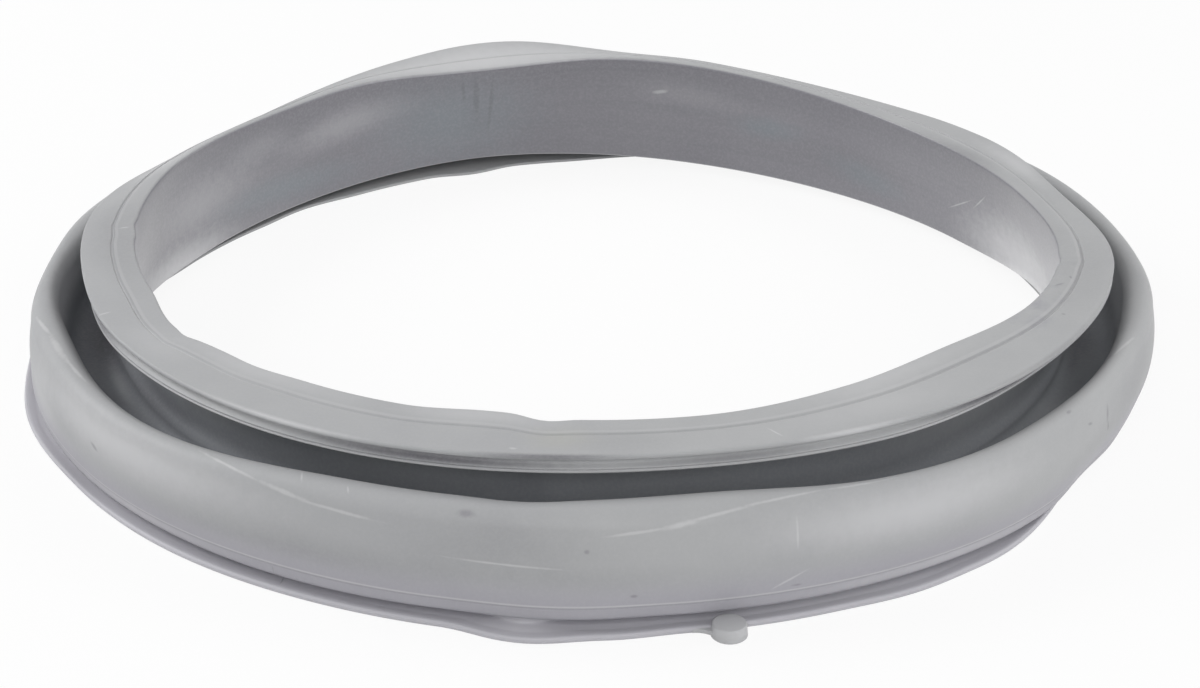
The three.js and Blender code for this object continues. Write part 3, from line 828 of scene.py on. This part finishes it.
def grey_rubber(section, across):
    """Satin grey rubber: a fine talc grain, a darker, clouded sleeve, a rougher channel darkened
    with painted shade, a moulding line low on the roll with a painted highlight and painted shade,
    painted light and shade in wide patches, and the scuff marks and nicks of handling, one of
    them a painted highlight on a crease."""
    wall = WallFinish("grey_rubber", section, across)
    way = wall.way
    crest_way = wall.way_at(BELLY_RADIUS - BELLY_REACH - CREST_ROUND, CREST_TOP)
    channel_way = wall.way_at(MOUTH_RADIUS + SLEEVE_WALL, CHANNEL_TOP)
    lip_way = wall.way_at(MOUTH_RADIUS + SLEEVE_FLARE, LIP_FOOT)
    line_way = wall.way_at(SHOULDER_RADIUS, MOULD_LINE_HEIGHT)
    groove_way = LINE_INSET + LINE_WIDTH / 2

    sleeve = way.rise(lip_way - 2, lip_way + 1).over(1 - way.rise(0.3, 1.2))
    channel = way.band(channel_way + 8, crest_way - 24, 12)
    collar = 1 - way.rise(COLLAR_WIDTH - 1, COLLAR_WIDTH + 1)
    # Where the painted shade lies low on the roll
    low_roll_shade = way.rise(crest_way + 20, line_way) * (1 - way.rise(line_way + 25, line_way + 30))

    colour = outside_colour(wall, collar, low_roll_shade)
    colour = wall.mix(sleeve, colour, sleeve_colour(wall, lip_way))
    # Dark bluish painted shade in the channel's recess
    colour = wall.lay(colour, "channel", channel * 0.52)
    # Painted light from the floor on the panel slot and the bead
    colour = wall.lay(colour, "foot", way.band(157, 174, 2) * 0.52)
    # Painted shade lines along the ridges of the bead's land
    land_shade_lines = way.band(169.8, 170.0, 0.3).over(way.band(172.2, 172.4, 0.3))
    colour = wall.lay(colour, "land_shade_lines", land_shade_lines * 0.30)
    # Painted light and painted shade in wide patches over the wall
    colour = wall.lay(colour, "pale", wall.patches(PAINTED_LIGHT_PATCHES))
    colour = wall.lay(colour, "dark", wall.patches(PAINTED_SHADE_PATCHES))

    # Scuff marks, and one painted highlight on the roll's crease
    scuffs_and_highlight = wall.marks(ROLL_SCUFFS_AND_CREASE_HIGHLIGHT, 0.8).over(wall.marks(COLLAR_SCUFFS + SLEEVE_SCUFFS, 0.5))
    colour = wall.lay(colour, "scuff", scuffs_and_highlight * 0.42)
    nicks = wall.marks(NICKS, 0.6)
    colour = wall.lay(colour, "nick", nicks * 0.55)
    # The moulding line painted pale as its highlight, with painted shade just under it
    line = way.band(line_way - 0.15, line_way + 0.15, 0.25)
    under_line_shade = way.band(line_way + 0.5, line_way + 0.7, 0.35)
    colour = wall.lay(colour, "mould line", line * 0.40)
    colour = wall.lay(colour, "under line", under_line_shade * 0.35)
    seam = wall.marks(SEAM)
    colour = wall.lay(colour, "seam", seam * 0.5)

    # The collar's line: painted shade in the groove between painted highlights on its two edges,
    # fainter at the front
    groove = way.band(groove_way - 0.25, groove_way + 0.25, 0.25)
    edges = way.band(groove_way - 1.3, groove_way + 1.3, 0.5) - groove
    fainter_front = wall.spot(262, 8, 190, 30, 0, 0.5)
    colour = wall.lay(colour, "groove", groove * (0.45 - fainter_front * 0.30))
    colour = wall.lay(colour, "groove edge", edges * 0.20)
    colour = wall.lay(colour, "talc", wall.grain.rise(0.35, 0.75) * 0.10)

    height = (wall.cloud * 0.5 + wall.mottle * 0.10 + wall.fleck * 0.012 + wall.grain * 0.008
              + scuffs_and_highlight * 0.02 - nicks * 0.05 - groove * 0.12 - under_line_shade * 0.10 - seam * 0.08)
    normal = wall.node("ShaderNodeBump", None,
                       {"Strength": 1.0, "Distance": 0.0006, "Height": height})
    roughness = 0.50 + wall.mottle * 0.10 + channel * 0.15 - sleeve * 0.17 - scuffs_and_highlight * 0.08
    return wall.wear(wall.node("ShaderNodeBsdfPrincipled", None, {
        "Base Color": colour, "Roughness": roughness, "Normal": normal,
        "IOR": 1.5, "Specular IOR Level": 0.5,
        "Coat Weight": sleeve * 0.8, "Coat Roughness": 0.25, "Coat IOR": 1.5}))


def studio_floor():
    """A pale floor under the seal. Straight from the camera and in gloss it shows mostly as
    plain white, and the rest of it is matt and keeps the seal's shadow."""
    mesh = bpy.data.meshes.new("floor")
    corners = np.array([[-1, -1], [1, -1], [1, 1], [-1, 1]]) * FLOOR_SIDE / 2
    mesh.from_pydata(np.column_stack([corners, np.full(4, -FLOOR_DROP)]), [], [(0, 1, 2, 3)])
    floor = bpy.data.objects.new("floor", mesh)
    bpy.context.scene.collection.objects.link(floor)

    finish = Finish("pale_floor")
    seen = finish.seen_by("Is Camera Ray", "Is Glossy Ray", "Is Transmission Ray")
    grey = (FLOOR_GREY, FLOOR_GREY, FLOOR_GREY, 1)
    matt = finish.node("ShaderNodeBsdfDiffuse", None, {"Color": grey})
    white = finish.node("ShaderNodeEmission", None, {"Color": (1, 1, 1, 1), "Strength": 1.0})
    share = 0.25 + seen * 0.65
    mesh.materials.append(finish.wear(
        finish.node("ShaderNodeMixShader", None, {0: share, 1: matt, 2: white})))


def studio_world(level):
    """An even pale surround, plain white where it is looked at or mirrored."""
    world = bpy.data.worlds.new("studio")
    world.use_nodes = True
    bpy.context.scene.world = world
    nodes = Nodes(world.node_tree)
    strength = level + nodes.seen_by("Is Camera Ray", "Is Glossy Ray") * (1 - level)
    nodes.show("ShaderNodeOutputWorld", nodes.node(
        "ShaderNodeBackground", None, {"Color": (1, 1, 1, 1), "Strength": strength}))


def soft_box(name, place, side, power):
    """A square lamp at a place, turned to face the seal."""
    lamp = bpy.data.lights.new(name, "AREA")
    lamp.shape = "SQUARE"
    lamp.size = side
    lamp.energy = power
    box = bpy.data.objects.new(name, lamp)
    bpy.context.scene.collection.objects.link(box)
    box.location = place
    box.rotation_euler = (-Vector(place)).to_track_quat("-Z", "Y").to_euler()


def photo_camera(ring_centre):
    """A long lens that looks down on the front of the ring."""
    pitch = math.radians(CAMERA_PITCH)
    aim = np.array(CAMERA_AIM) + ring_centre
    back = np.array([0, -math.cos(pitch), math.sin(pitch)])
    camera = bpy.data.objects.new("camera", bpy.data.cameras.new("camera"))
    camera.data.sensor_width = CAMERA_SENSOR
    camera.data.lens = CAMERA_LENS
    camera.location = (aim + CAMERA_DISTANCE * back) * MM
    camera.rotation_euler = (math.pi / 2 - pitch, 0, 0)
    bpy.context.scene.collection.objects.link(camera)
    bpy.context.scene.camera = camera


seal, ring_centre, section, across = make_seal()
seal.data.materials.append(grey_rubber(section, across))
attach(seal, "root")
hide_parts("door_seal")

studio_floor()
studio_world(SURROUND_LEVEL)
for lamp_row in LAMPS:
    soft_box(*lamp_row)
photo_camera(ring_centre)

bpy.context.scene.view_settings.view_transform = "Standard"
